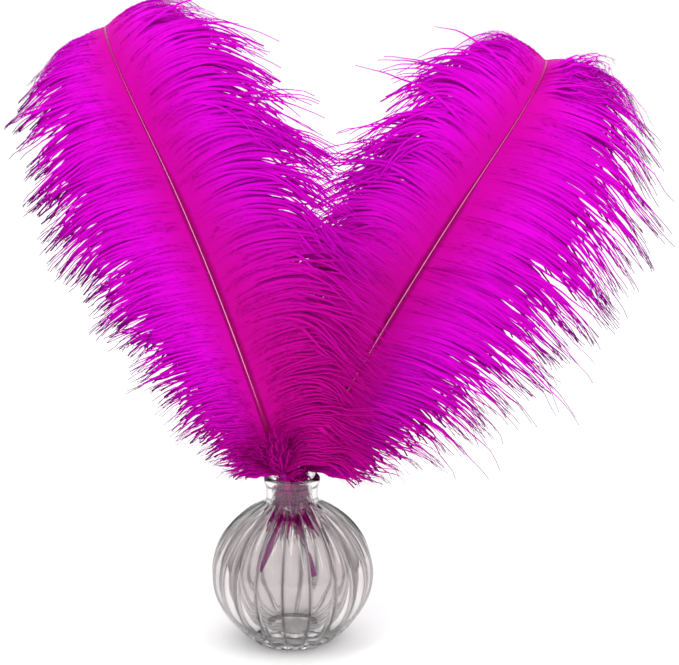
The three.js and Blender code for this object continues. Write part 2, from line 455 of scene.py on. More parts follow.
def make_dye_mottle():
    """Uneven dye: a colour that drifts between two tones in streaks, and the mask it follows."""
    tree, given, made = new_group("dye_mottle", "ShaderNodeTree", [
        ("Place", "Vector"), ("Fine", "Float"), ("Stretch", "Float"), ("Deep", "Color"), ("Bright", "Color"),
    ], [("Color", "Color"), ("Mask", "Float")])
    size = node_in(tree, "ShaderNodeCombineXYZ", {"X": 1, "Y": 1, "Z": given["Stretch"]}).outputs["Vector"]
    place = node_in(tree, "ShaderNodeVectorMath", {0: given["Place"], 1: size}, operation="MULTIPLY")
    spots = node_in(tree, "ShaderNodeTexNoise", {
        "Vector": place.outputs["Vector"], "Scale": given["Fine"], "Detail": 3,
    })
    mask = ranged(tree, spots.outputs["Fac"], 0.32, 0.68, curve="LINEAR")
    tree.links.new(mixed(tree, mask, given["Deep"], given["Bright"]), made["Color"])
    tree.links.new(mask, made["Mask"])
    return tree


dye_mottle = make_dye_mottle()


def mottled(tree, fine, stretch, deep, bright):
    """The colour and the mask of the uneven dye, over this material's own piece."""
    mottle = node_in(tree, "ShaderNodeGroup", {
        "Place": node_in(tree, "ShaderNodeTexCoord").outputs["Object"],
        "Fine": fine, "Stretch": stretch, "Deep": deep, "Bright": bright,
    }, node_tree=dye_mottle)
    return mottle.outputs["Color"], mottle.outputs["Mask"]


def kept(tree, name):
    """A value that the piece's own points carry."""
    return node_in(tree, "ShaderNodeAttribute", attribute_name=name).outputs["Fac"]


def dyed_horn(name, dark, dyed, crowned):
    """Dyed horn: streaky along its length and glossy; when crowned, a painted highlight runs as a pale line
    down its crown.
    """
    material, tree, bsdf = shaded(name, HORN_SHINE)
    maths, link = maths_in(tree), tree.links.new
    colour, mask = mottled(tree, 900, 0.12, dark, dyed)
    grain = node_in(tree, "ShaderNodeBump", {"Height": mask, "Strength": 0.25, "Distance": 0.0002})
    link(ranged(tree, mask, 0, 1, 0.22, 0.38, "LINEAR"), bsdf.inputs["Roughness"])
    link(grain.outputs["Normal"], bsdf.inputs["Normal"])
    if crowned:
        # Painted highlight: a pale line down the front of the shaft.
        highlight_strength = kept(tree, "highlight_strength")
        highlight_band = ranged(tree, kept(tree, "crown"), HIGHLIGHT_FROM, HIGHLIGHT_TO)
        bare = maths("MULTIPLY", highlight_band, maths("MULTIPLY", highlight_strength, 4.0, use_clamp=True))
        colour = mixed(tree, bare, colour, mixed(tree, highlight_strength, HORN_DIM_HIGHLIGHT, HORN_HIGHLIGHT))
    link(colour, bsdf.inputs["Base Color"])
    return material


quill_horn = dyed_horn("quill_horn", QUILL_DARK, QUILL_DYED, crowned=False)
for side_name, line in lines.items():
    quill = make_quill(f"{side_name}_quill_horn", line)
    quill.data.materials.append(quill_horn)
    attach(quill, f"{side_name}_quill")
    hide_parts(f"{side_name}_quill")

# ---- Shafts ----
# Above the mouth the quill becomes a solid springy shaft, rounded at the back, flatter at the front, and
# drawn out to a hair at the tip. It carries all the barbs, and its upper half nods over.
SHAFT_GAP = 0.0004
FLEX_FROM, FLEX_TO = 0.1268, 0.1725
SHAFT_FLATNESS = 0.82
SHAFT_SIDES = 24
SHAFT_STEP = 0.002
# Where the painted highlight on the shaft's crown shows, and how much it fades towards the tip.
HIGHLIGHT_SHOWS_FROM, HIGHLIGHT_SHOWS_TO = 0.030, 0.075
HIGHLIGHT_FADES_FROM, HIGHLIGHT_FADES_TO, HIGHLIGHT_FADES_BY = 0.140, 0.230, 0.85


def grown(seed_piece, tree, values):
    """The plain mesh that the tree makes from the piece, with the tree's inputs set to these values."""
    growth = seed_piece.modifiers.new("growth", "NODES")
    growth.node_group = tree
    for item in tree.interface.items_tree:
        if item.item_type == "SOCKET" and item.in_out == "INPUT" and item.name in values:
            growth[item.identifier] = values[item.name]
    graph = bpy.context.evaluated_depsgraph_get()
    graph.update()
    mesh = bpy.data.meshes.new_from_object(seed_piece.evaluated_get(graph))
    seed_piece.modifiers.clear()
    bpy.data.objects.remove(seed_piece)
    return mesh


def field(tree, name, kind="FLOAT"):
    node = node_in(tree, "GeometryNodeInputNamedAttribute", {"Name": name}, data_type=kind)
    return node.outputs["Attribute"]


def keep_field(tree, geometry, name, value):
    node = node_in(
        tree, "GeometryNodeStoreNamedAttribute", {"Geometry": geometry, "Name": name, "Value": value},
        data_type="FLOAT", domain="POINT",
    )
    return node.outputs["Geometry"]


def painted(tree, geometry, material):
    """The last two steps of every tree: real faces, with the material on them."""
    real = node_in(tree, "GeometryNodeRealizeInstances", {"Geometry": geometry})
    paint = node_in(tree, "GeometryNodeSetMaterial", {
        "Geometry": real.outputs["Geometry"], "Material": material,
    })
    return paint.outputs["Geometry"]


def make_shaft_tree():
    """A round bar, flattened from back to front, along the line of points that it's given."""
    tree, given, made = new_group("shaft_on_line", "GeometryNodeTree", [
        ("Geometry", "Geometry"), ("Sides", "Int"), ("Flatness", "Float"), ("Material", "Material"),
    ], [("Geometry", "Geometry")])
    path = node_in(tree, "GeometryNodeMeshToCurve", {"Mesh": given["Geometry"]})
    facing = node_in(tree, "GeometryNodeSetCurveNormal", {
        "Curve": path.outputs["Curve"], "Normal": field(tree, "facing", "FLOAT_VECTOR"),
    }, mode="FREE")
    ring = node_in(tree, "GeometryNodeCurvePrimitiveCircle", {"Resolution": given["Sides"], "Radius": 1.0})
    where = node_in(tree, "GeometryNodeInputPosition").outputs["Position"]
    front = node_in(tree, "ShaderNodeSeparateXYZ", {"Vector": where}).outputs["X"]
    flatten = node_in(tree, "ShaderNodeCombineXYZ", {"X": given["Flatness"], "Y": 1, "Z": 1})
    # How squarely each point of the ring faces the front, which places the painted highlight.
    crowned = keep_field(tree, ring.outputs["Curve"], "crown", front)
    oval = node_in(tree, "GeometryNodeTransform", {"Geometry": crowned, "Scale": flatten.outputs["Vector"]})
    sweep = node_in(tree, "GeometryNodeCurveToMesh", {
        "Curve": facing.outputs["Curve"], "Profile Curve": oval.outputs["Geometry"],
        "Scale": field(tree, "thickness"), "Fill Caps": True,
    })
    tree.links.new(painted(tree, sweep.outputs["Mesh"], given["Material"]), made["Geometry"])
    return tree


def give_points(piece, name, values):
    """Puts a number or a vector on each of the piece's points."""
    values = np.array(values, np.float32)
    kind, part = ("FLOAT_VECTOR", "vector") if values.ndim == 2 else ("FLOAT", "value")
    piece.data.attributes.new(name, kind, "POINT").data.foreach_set(part, values.ravel())


def highlight_along_shaft(s):
    """How strong the painted highlight down the crown is: full along the middle, none at the foot, faint at
    the tip.
    """
    faded = HIGHLIGHT_FADES_BY * rise(s, HIGHLIGHT_FADES_FROM, HIGHLIGHT_FADES_TO)
    return rise(s, HIGHLIGHT_SHOWS_FROM, HIGHLIGHT_SHOWS_TO) * (1 - faded)


shaft_tree = make_shaft_tree()
shaft_horn = dyed_horn("shaft_horn", HORN_DARK, HORN_DYED, crowned=True)
for side_name, line in lines.items():
    stations = np.arange(QUILL_TOP + SHAFT_GAP, SHAFT_LENGTH - 0.0005, SHAFT_STEP)
    frames = [frame_on(line, s) for s in stations]
    path = new_piece("shaft_path", [f[0] for f in frames], [])
    path.data.edges.add(len(frames) - 1)
    path.data.edges.foreach_set("vertices", [v for i in range(len(frames) - 1) for v in (i, i + 1)])
    give_points(path, "thickness", [shaft_radius(s) for s in stations])
    give_points(path, "facing", [-f[3] for f in frames])
    # How strong the painted highlight is at each point of the shaft.
    give_points(path, "highlight_strength", [highlight_along_shaft(s) for s in stations])
    mesh = grown(path, shaft_tree, {
        "Sides": SHAFT_SIDES, "Flatness": SHAFT_FLATNESS, "Material": shaft_horn,
    })
    shaft = bpy.data.objects.new(f"{side_name}_shaft_horn", mesh)
    scene.collection.objects.link(shaft)
    mesh.polygons.foreach_set("use_smooth", [True] * len(mesh.polygons))
    tuple(frame_on(line, FLEX_FROM)[0])
    tuple(frame_on(line, FLEX_TO)[0])
    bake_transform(shaft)
    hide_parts(f"{side_name}_shaft", f"{side_name}_tip_shaft")

# ---- Barbs ----
# Each shaft carries a row of fine barbs down both sides, and each barb is fringed with soft barbules. The
# barbs lie close at the shaft, gather into wisps further out, and droop at their free ends.
BARB_PITCH = 0.00062
BARB_POINTS = 20
WEB_HALF_WIDTH = 0.0008
WEB_END_SHARE = 0.2
WEB_FOLD = 0.15
UNDER_PITCH = 0.0011
UNDER_WIDTH = 2.3
UNDER_REACH, OPEN_UNDER_REACH = 0.86, 0.70
BARBULE_LENGTH = 0.0034
BARBULE_PITCH = 0.0006
BARBULE_WIDTH = 0.00026
BARBULE_SWING = 0.3
END_HOOK = 0.004
END_FRIZZ = 0.005
RUFFLES_PER_METRE = 60
INNER_DRY = 0.87
# How far out from the shaft the painted shade at the barbs' feet reaches.
SHAFT_SHADE_SHARE = 0.035
STRAY_CHANCE, STRAY_WILD = 0.08, 2.5
BARB_SEED = 7
# For each side of each plume: the longest barb, its droop, and how far the barbs stand upright at the tip.
BARB_SHAPES = {
    "left": {"outer": (0.067, 0.48, 0.0), "inner": (0.100, 0.54, 0.0)},
    "right": {"outer": (0.096, 0.58, 0.7), "inner": (0.092, 0.54, 0.0)},
}
# For each side: how long the lowest barbs are, where they reach full length, and how many degrees they
# close up by at the tip.
SIDE_SHAPES = {"outer": (0.3, 0.150, 18), "inner": (0.42, 0.110, 6)}
BARB_SPREAD = 68
UPRIGHT_FROM, UPRIGHT_TO = 0.17, 0.26
SHORTER_FROM, SHORTER_BY = 0.180, 0.64
OUTER_DROOP_LOW, OUTER_DROOP_FULL_AT = 0.45, 0.18
FOOT_LIFT, FOOT_LIFT_TO = 0.16, 0.022
LEAN_BACK = 0.16
ROOT_OUT, ROOT_BACK = 0.7, 0.25
# Slow drifts up a shaft: the spans of their waves in metres, and the size of the drift.
LIFT_DRIFT = ((0.05, 0.021), 0.02)
SPREAD_DRIFT = ((0.045, 0.017), 1.2)
DROOP_DRIFT = ((0.06, 0.019), 0.03)
REACH_DRIFT = ((0.04, 0.013, 0.007), 0.045)
# Scatter of the lift, the spread in degrees and the droop, from wisp to wisp and from barb to barb.
WISP_SCATTER = (0.018, 2.4, 0.045)
BARB_SCATTER = (0.008, 0.8, 0.03)
UNDER_OFFSETS = (0.045, 0, 0)
# Extra barbs on the right plume's outer side: their lowest and highest places, and how many there are.
STRAY_SPAN, STRAY_COUNT, STRAY_REACH_MORE = (0.045, 0.120), 22, 0.40
CURL_SPAN, CURL_COUNT = (0.222, 0.246), 80
DOWN = np.array([0, 0, -1.0])
BARBS_START, BARBS_END = 0.003, 0.2865
# Each stretch of barbs, with its two ends on the shaft, and the CAD locks that it stands for.
STRETCHES = [("low", 0, FLEX_FROM), ("bend", FLEX_FROM, FLEX_TO), ("top", FLEX_TO, SHAFT_LENGTH)]
LOCKS = {
    "low": [f"{{0}}_{{1}}_barbs_{i}" for i in range(1, 6)],
    "bend": ["{0}_{1}_barbs_6", "{0}_tip_{1}_barbs_1"],
    "top": [f"{{0}}_tip_{{1}}_barbs_{i}" for i in range(2, 7)],
}
VECTOR_KEYS = ("own_root", "own_start", "own_end", "own_face", "wisp_root", "wisp_start", "wisp_end")
NUMBER_KEYS = (
    "own_reach", "wisp_reach", "gather", "tone", "fringe", "web", "bare", "ruffle", "pool", "dry", "shaft_shade_off",
    "height",
)
PLAIN_BARB = {
    "gather": 0.0, "tone": 0.5, "pool": 0.7, "dry": 1.0, "shaft_shade_off": 0.0, "ruffle": 0.0,
    "fringe": 1.0, "web": 1.0, "bare": 0.25,
}


def make_barbule_pair():
    """Two barbules that leave a barb to both sides and bend towards its free end, one unit long."""
    half = BARBULE_WIDTH / BARBULE_LENGTH / 2
    points, faces = [], []
    for hand in (-1, 1):
        base = len(points)
        points += [(0, 0, 0), (hand * 0.34, -half, 0.45), (hand * 0.34, half, 0.45), (hand * 0.52, 0, 1)]
        faces += [(base, base + 1, base + 2), (base + 1, base + 3, base + 2)]
    return new_piece("barbule_pair", points, faces)


def make_barb_line_group():
    """Where a barb is at a share of its length, from its root, its first and last directions and reach."""
    tree, given, made = new_group("barb_line", "GeometryNodeTree", [
        ("Root", "Vector"), ("Start", "Vector"), ("End", "Vector"), ("Reach", "Float"), ("Share", "Float"),
    ], [("Position", "Vector")])
    maths, vectors = maths_in(tree), vector_maths_in(tree)
    half = maths("MULTIPLY", maths("MULTIPLY", given["Share"], given["Share"]), 0.5)
    rest = maths("SUBTRACT", given["Share"], half)
    total = given["Root"]
    for direction, weight in (("Start", rest), ("End", half)):
        step = vectors("SCALE", given[direction], maths("MULTIPLY", weight, given["Reach"]))
        total = vectors("ADD", total, step)
    tree.links.new(total, made["Position"])
    return tree


def wandering(tree, x, y, z, size):
    """A drift to all sides, of this size, that follows a noise over three numbers."""
    vectors = vector_maths_in(tree)
    spot = node_in(tree, "ShaderNodeCombineXYZ", {"X": x, "Y": y, "Z": z}).outputs["Vector"]
    noise = node_in(tree, "ShaderNodeTexNoise", {"Vector": spot, "Scale": 1.0, "Detail": 2.0})
    return vectors("SCALE", vectors("SUBTRACT", noise.outputs["Color"], (0.5, 0.5, 0.5)), size)


def barb_courses(tree, given, barb_line, u):
    """Where each point of a barb goes: its own course, drawn to its wisp's, ruffled, hooked and frizzy."""
    maths, vectors = maths_in(tree), vector_maths_in(tree)
    places = []
    for who in ("own", "wisp"):
        values = {"Reach": field(tree, f"{who}_reach"), "Share": u}
        for label in ("Root", "Start", "End"):
            values[label] = field(tree, f"{who}_{label.lower()}", "FLOAT_VECTOR")
        places.append(node_in(tree, "GeometryNodeGroup", values, node_tree=barb_line).outputs["Position"])
    pull = maths("MULTIPLY", ranged(tree, u, 0.25, 1.0), field(tree, "gather"))
    meet = node_in(tree, "ShaderNodeMix", {0: pull, 4: places[0], 5: places[1]}, data_type="VECTOR")
    tone = field(tree, "tone")
    along = maths("MULTIPLY", field(tree, "height"), given["Ruffles per Metre"])
    along = maths("ADD", along, maths("MULTIPLY", tone, 0.5))
    ruffle_size = maths("MULTIPLY", maths("POWER", u, 1.3), field(tree, "ruffle"))
    ruffle = wandering(tree, along, maths("MULTIPLY", u, 2.2), given["Seed"], ruffle_size)
    frizz_size = maths("MULTIPLY", maths("POWER", u, 2.5), given["End Frizz"])
    frizz = wandering(tree, maths("MULTIPLY", tone, 97.0), maths("MULTIPLY", u, 4.5), 0, frizz_size)
    fall = maths("MULTIPLY", maths("MULTIPLY", maths("POWER", u, 4.0), given["End Hook"]), -1.0)
    hook = node_in(tree, "ShaderNodeCombineXYZ", {"Z": fall}).outputs["Vector"]
    return vectors("ADD", vectors("ADD", vectors("ADD", meet.outputs[1], hook), ruffle), frizz)


def web_strip(tree, given, barbs, u):
    """The thin folded strip of web along each barb, widest near its root and narrow at its end."""
    maths = maths_in(tree)
    across = node_in(tree, "GeometryNodeCurvePrimitiveLine", {"Start": (0, -1, 0), "End": (0, 1, 0)})
    three = node_in(tree, "GeometryNodeResampleCurve", {"Curve": across.outputs["Curve"], "Count": 3})
    where = node_in(tree, "GeometryNodeInputPosition").outputs["Position"]
    edge = maths("ABSOLUTE", node_in(tree, "ShaderNodeSeparateXYZ", {"Vector": where}).outputs["Y"])
    ridged = keep_field(tree, three.outputs["Curve"], "ridge", maths("SUBTRACT", 1.0, edge))
    drop = maths("MULTIPLY", maths("MULTIPLY", edge, given["Web Fold"]), -1.0)
    fall = node_in(tree, "ShaderNodeCombineXYZ", {"X": drop}).outputs["Vector"]
    roof = node_in(tree, "GeometryNodeSetPosition", {"Geometry": ridged, "Offset": fall})
    opens = ranged(tree, u, 0, 0.08, 0.6, 1)
    closes = ranged(tree, u, 0.35, 1, 1, given["Web End Share"])
    width = maths("MULTIPLY", maths("MULTIPLY", opens, closes), given["Web Half Width"])
    width = maths("MULTIPLY", width, field(tree, "web"))
    return node_in(tree, "GeometryNodeCurveToMesh", {
        "Curve": barbs, "Profile Curve": roof.outputs["Geometry"], "Scale": width,
    }).outputs["Mesh"]


def barbule_fringe(tree, given, barbs, u):
    """Pairs of barbules along each barb, each turned a little by chance, and shorter towards both ends."""
    maths = maths_in(tree)
    beads = node_in(tree, "GeometryNodeCurveToPoints", {
        "Curve": barbs, "Length": given["Barbule Pitch"],
    }, mode="LENGTH")
    shape = node_in(tree, "GeometryNodeObjectInfo", {"Object": given["Barbule Pair"]}).outputs["Geometry"]
    swing = node_in(tree, "FunctionNodeRandomValue", {
        2: maths("SUBTRACT", math.pi / 2, given["Barbule Swing"]),
        3: maths("ADD", math.pi / 2, given["Barbule Swing"]), "Seed": given["Seed"],
    }, data_type="FLOAT").outputs[1]
    twist = node_in(tree, "FunctionNodeAxisAngleToRotation", {"Axis": (0, 0, 1), "Angle": swing})
    turn = node_in(tree, "FunctionNodeRotateRotation", {
        "Rotation": beads.outputs["Rotation"], "Rotate By": twist.outputs["Rotation"],
    }, rotation_space="LOCAL")
    near = maths("MINIMUM", maths("MULTIPLY_ADD", u, 7.0, 0.35), 1.0)
    far = maths("POWER", maths("SUBTRACT", 1.0, maths("MULTIPLY", u, 0.94)), 0.5)
    luck = node_in(tree, "FunctionNodeRandomValue", {
        2: 0.55, 3: 1.15, "Seed": maths("ADD", given["Seed"], 1),
    }, data_type="FLOAT").outputs[1]
    size = maths("MULTIPLY", maths("MULTIPLY", near, far), luck)
    size = maths("MULTIPLY", maths("MULTIPLY", size, given["Barbule Length"]), field(tree, "fringe"))
    past_bare = {"A": u, "B": field(tree, "bare")}
    fringed = node_in(tree, "FunctionNodeCompare", past_bare, operation="GREATER_THAN")
    return node_in(tree, "GeometryNodeInstanceOnPoints", {
        "Points": beads.outputs["Points"], "Selection": fringed.outputs["Result"], "Instance": shape,
        "Rotation": turn.outputs["Rotation"], "Scale": size,
    }).outputs["Instances"]


def make_barb_tree(barb_line):
    """Barbs with their webs and barbules, one on each point of the cloud that it's given."""
    tree, given, made = new_group("barbs_with_barbules", "GeometryNodeTree", [
        ("Geometry", "Geometry"), ("Barb Points", "Int"), ("Ruffles per Metre", "Float"),
        ("End Hook", "Float"), ("End Frizz", "Float"), ("Web Half Width", "Float"),
        ("Web End Share", "Float"), ("Web Fold", "Float"), ("Barbule Pair", "Object"),
        ("Barbule Length", "Float"), ("Barbule Pitch", "Float"), ("Barbule Swing", "Float"),
        ("Material", "Material"), ("Seed", "Int"),
    ], [("Geometry", "Geometry")])
    straight = node_in(tree, "GeometryNodeCurvePrimitiveLine").outputs["Curve"]
    fine = node_in(tree, "GeometryNodeResampleCurve", {"Curve": straight, "Count": given["Barb Points"]})
    put = node_in(tree, "GeometryNodeInstanceOnPoints", {
        "Points": given["Geometry"], "Instance": fine.outputs["Curve"],
    })
    real = node_in(tree, "GeometryNodeRealizeInstances", {"Geometry": put.outputs["Instances"]})
    share = node_in(tree, "GeometryNodeSplineParameter").outputs["Factor"]
    shared = keep_field(tree, real.outputs["Geometry"], "share", share)
    u = field(tree, "share")
    bend = node_in(tree, "GeometryNodeSetPosition", {
        "Geometry": shared, "Position": barb_courses(tree, given, barb_line, u),
    })
    barbs = node_in(tree, "GeometryNodeSetCurveNormal", {
        "Curve": bend.outputs["Geometry"], "Normal": field(tree, "own_face", "FLOAT_VECTOR"),
    }, mode="FREE").outputs["Curve"]
    both = node_in(tree, "GeometryNodeJoinGeometry", {"Geometry": barbule_fringe(tree, given, barbs, u)})
    tree.links.new(web_strip(tree, given, barbs, u), both.inputs["Geometry"])
    tree.links.new(painted(tree, both.outputs["Geometry"], given["Material"]), made["Geometry"])
    return tree


BARB_DEEP = (0.60, 0.0003, 0.54, 1)
BARB_BRIGHT = (0.66, 0.0004, 0.62, 1)
# Redder dye at the barbs' roots; the same colour is the darker, redder painted shade where the plumes crowd.
BARB_ROOT_AND_SHADE = (0.48, 0.0003, 0.24, 1)
# Painted shade: the dark band at each barb's foot beside the shaft.
BARB_SHAFT_SHADE = (0.26, 0.0003, 0.10, 1)
BARB_END = (0.10, 0.001, 0.09, 1)
BARB_SHINE = {
    "Specular IOR Level": 0.03, "Sheen Weight": 0.05, "Sheen Roughness": 0.4,
    "Sheen Tint": (1.0, 0.05, 0.95, 1),
}
# Painted shade among the crowded barbs low down: full below the first height, gone above the second.
LOW_SHADE_FULL_BELOW, LOW_SHADE_GONE_ABOVE = 0.085, 0.150


def dyed_barb():
    """Dyed down: redder at the shaft, magenta over the vane, dull purple at the dry ends, with painted
    shade.
    """
    material, tree, bsdf = shaded("dyed_barb", BARB_SHINE)
    maths, link = maths_in(tree), tree.links.new
    colour, mask = mottled(tree, 140, 1.0, BARB_DEEP, BARB_BRIGHT)
    place = node_in(tree, "ShaderNodeTexCoord").outputs["Object"]
    height = node_in(tree, "ShaderNodeSeparateXYZ", {"Vector": place}).outputs["Z"]
    share = kept(tree, "share")
    # Each coat: what it follows, from where to where, how thick it is at both, and its tint.
    for source, low, high, thick_low, thick_high, tint in (
        (kept(tree, "tone"), 0, 1, 0, 0.6, BARB_DEEP),
        # Painted shade: darker and redder low down, and where the plumes crowd.
        (height, LOW_SHADE_FULL_BELOW, LOW_SHADE_GONE_ABOVE, 0.5, 0, BARB_ROOT_AND_SHADE),
        (kept(tree, "pool"), 0, 1, 0, 1, BARB_ROOT_AND_SHADE),
        (share, 0, 0.4, 0.85, 0, BARB_ROOT_AND_SHADE),
        # Painted shade at the barbs' feet beside the shaft, taken off higher up the plume.
        (maths("ADD", share, kept(tree, "shaft_shade_off")), 0.008, SHAFT_SHADE_SHARE, 0.8, 0, BARB_SHAFT_SHADE),
        (maths("MULTIPLY", share, kept(tree, "dry")), 0.78, 1, 0, 0.95, BARB_END),
    ):
        colour = mixed(tree, ranged(tree, source, low, high, thick_low, thick_high), colour, tint)
    link(colour, bsdf.inputs["Base Color"])
    link(ranged(tree, mask, 0, 1, 0.5, 0.7, "LINEAR"), bsdf.inputs["Roughness"])
    return material


def unit(v):
    return v / np.linalg.norm(v)


def barb_reach(longest, low_share, full_at, s):
    """Barbs are short at the foot of the vane, longest half way up, and short again towards the tip."""
    grown_share = low_share + (1 - low_share) * min(1.0, s / full_at) ** 0.6
    tip = max(0.0, (s - SHORTER_FROM) / (SHAFT_LENGTH - SHORTER_FROM))
    return longest * grown_share * (1 - SHORTER_BY * tip**1.2)


def side_name(plume_name, side):
    return "outer" if side == PLUMES[plume_name]["hand"] else "inner"


def barb_aim(plume_name, side, s, lift, spread_more, droop_more):
    """Root, first direction, last direction, reach and front face of the barb that grows at s."""
    line, where = lines[plume_name], side_name(plume_name, side)
    longest, droop, upright = BARB_SHAPES[plume_name][where]
    low_share, full_at, closes = SIDE_SHAPES[where]
    if where == "outer":
        droop *= OUTER_DROOP_LOW + (1 - OUTER_DROOP_LOW) * rise(s, 0, OUTER_DROOP_FULL_AT)
        droop -= FOOT_LIFT * (1 - rise(s, 0, FOOT_LIFT_TO))
    at, along, across, face = frame_on(line, s)
    straight = frame_on(line, PLUMES[plume_name]["curl_from"])[1]
    onward = unit(along + upright * rise(s, UPRIGHT_FROM, UPRIGHT_TO) * (straight - along))
    spread = math.radians(BARB_SPREAD - closes * (s / SHAFT_LENGTH) ** 3 + spread_more)
    start = unit(math.cos(spread) * onward + side * math.sin(spread) * across + (lift - LEAN_BACK) * face)
    end = unit(start * (1 - droop - droop_more) + DOWN * (droop + droop_more))
    root = at + shaft_radius(s) * (side * across * ROOT_OUT - face * ROOT_BACK)
    return root, start, end, barb_reach(longest, low_share, full_at, s), -face


def sow_barbs(name, barbs):
    """A cloud of points, one at each barb's root, that carries what the tree needs to grow the barb."""
    cloud = new_piece(name, [barb["own_root"] for barb in barbs], [])
    for key in VECTOR_KEYS + NUMBER_KEYS:
        give_points(cloud, key, [barb[key] for barb in barbs])
    return cloud


def a_barb(own, wisp, height, **rest):
    """One barb's record: its own course, the course of the wisp that it joins, and how it is finished."""
    barb = {**PLAIN_BARB, "height": height, "own_face": own[4]}
    for who, course in (("own", own), ("wisp", wisp)):
        for label, value in zip(("root", "start", "end", "reach"), course):
            barb[f"{who}_{label}"] = value
    barb.update(rest)
    return barb


def drifting(chance, spans, size):
    """A smooth random drift up the shaft: one wave of each span, added."""
    waves = []
    for span in spans:
        pace = 2 * math.pi / (span * chance.uniform(0.8, 1.25))
        waves.append((pace, chance.uniform(0, 2 * math.pi)))
    return lambda s: size * sum(math.sin(pace * s + phase) for pace, phase in waves) / math.sqrt(len(waves))


def bounded(chance, size):
    return float(np.clip(chance.normal(0, size), -1.8 * size, 1.8 * size))


def scattered(chance, sizes, wild=1.0):
    return [bounded(chance, size * wild) for size in sizes]


def fitted(course, reach, tilt, chance):
    """The same course with this reach, and its face turned a little by chance."""
    return (*course[:3], reach, unit(course[4] + chance.normal(0, tilt, 3)))


def row_of_barbs(plume_name, side, chance):
    """All the barbs on one side of a shaft: a close under layer, and a longer upper layer in small wisps."""
    drifts = [drifting(chance, *values) for values in (LIFT_DRIFT, SPREAD_DRIFT, DROOP_DRIFT)]
    reach_drift = drifting(chance, *REACH_DRIFT)
    outer = side_name(plume_name, side) == "outer"
    under_reach = OPEN_UNDER_REACH if outer and plume_name == "right" else UNDER_REACH

    def aimed(at, s, offsets):
        return barb_aim(plume_name, side, at, *(drift(s) + more for drift, more in zip(drifts, offsets)))

    def finish_at(s):
        """How ruffled a barb at s is, how much painted shade it takes, how dry it is, and how far its foot's
        shade is off.
        """
        return {
            "ruffle": 0.010 + (0.008 if outer else 0.013) * (1 - rise(s, 0, 0.12)),
            "pool": 0.3 * (1 - rise(s, 0, 0.08)) if outer else 0.85 * (1 - rise(s, 0.05, 0.18)),
            "dry": 1.0 if outer else INNER_DRY,
            "shaft_shade_off": SHAFT_SHADE_SHARE * rise(s, 0.14, 0.20),
        }

    barbs, s = [], BARBS_START
    while s < BARBS_END:
        own = aimed(s, s, UNDER_OFFSETS)
        reach = own[3] * under_reach * (1 + reach_drift(s) + bounded(chance, 0.1))
        own = fitted(own, reach, 0.05, chance)
        barb = a_barb(own, own, s, tone=chance.random(), bare=chance.uniform(0.4, 0.7), web=UNDER_WIDTH)
        barb.update(finish_at(s))
        barb["ruffle"] *= 0.8
        barbs.append(barb)
        s += UNDER_PITCH * chance.uniform(0.8, 1.2)
    s = BARBS_START
    while s < BARBS_END:
        count = int(chance.integers(2, 8))
        middle = min(s + count * BARB_PITCH / 2, BARBS_END)
        wisp = aimed(middle, s, scattered(chance, WISP_SCATTER))
        wisp_reach = wisp[3] * (1 + reach_drift(s) + bounded(chance, 0.05))
        for _ in range(count):
            stray = chance.random() < STRAY_CHANCE
            own = aimed(s, s, scattered(chance, BARB_SCATTER, STRAY_WILD if stray else 1.0))
            reach = own[3] * (1 + reach_drift(s) + bounded(chance, 0.06))
            own = fitted(own, reach, 0.06, chance)
            joined = (*wisp[:3], wisp_reach * (1 + bounded(chance, 0.05)))
            gather = 0.1 if stray else float(np.clip(chance.normal(0.62, 0.2), 0, 0.95))
            barb = a_barb(own, joined, s, gather=gather, tone=chance.random(), fringe=0.75 if stray else 1.0)
            barb.update(finish_at(s))
            barb["web"] = 0.5 + 0.5 * rise(s, 0, 0.1)
            barb["bare"] = chance.uniform(0, 0.6) * rise(s, 0, 0.1)
            barbs.append(barb)
            s += BARB_PITCH * chance.uniform(0.8, 1.2)
    return barbs


def stray_barbs(plume_name, side, chance):
    """Long thin barbs that hang free of the vane, and lean further down than their neighbours."""
    strays = []
    for _ in range(STRAY_COUNT):
        s = chance.uniform(*STRAY_SPAN)
        lift, spread, droop = scattered(chance, (0.08, 5, 0.06))
        own = barb_aim(plume_name, side, s, lift, spread, 0.1 + droop)
        own = fitted(own, own[3] * (1 + STRAY_REACH_MORE * chance.random()), 0.2, chance)
        strays.append(a_barb(own, own, s, tone=chance.random(), web=0.9, bare=0.5, ruffle=0.022, pool=0.1))
    return strays


def curly_barbs(plume_name, side, chance):
    """Short curly barbs that stand up from the edge of a tip."""
    curls = []
    for _ in range(CURL_COUNT):
        s = chance.uniform(*CURL_SPAN)
        lift, spread, droop = scattered(chance, (0.1, 6, 0.1))
        own = barb_aim(plume_name, side, s, lift, spread - 8, droop - 0.30)
        own = fitted(own, own[3] * chance.uniform(0.40, 0.62), 0.3, chance)
        curls.append(a_barb(own, own, s, tone=chance.random(), web=0.8, fringe=1.1, ruffle=0.03, pool=0.1))
    return curls


def grow_barbs(name, barbs, seed):
    mesh = grown(sow_barbs("barb_roots", barbs), barb_tree, {
        "Barb Points": BARB_POINTS, "Ruffles per Metre": RUFFLES_PER_METRE, "End Hook": END_HOOK,
        "End Frizz": END_FRIZZ, "Web Half Width": WEB_HALF_WIDTH, "Web End Share": WEB_END_SHARE,
        "Web Fold": WEB_FOLD, "Barbule Pair": barbule_pair, "Barbule Length": BARBULE_LENGTH,
        "Barbule Pitch": BARBULE_PITCH, "Barbule Swing": BARBULE_SWING, "Material": barb_dye, "Seed": seed,
    })
    piece = bpy.data.objects.new(name, mesh)
    scene.collection.objects.link(piece)
    mesh.polygons.foreach_set("use_smooth", [True] * len(mesh.polygons))
    return piece


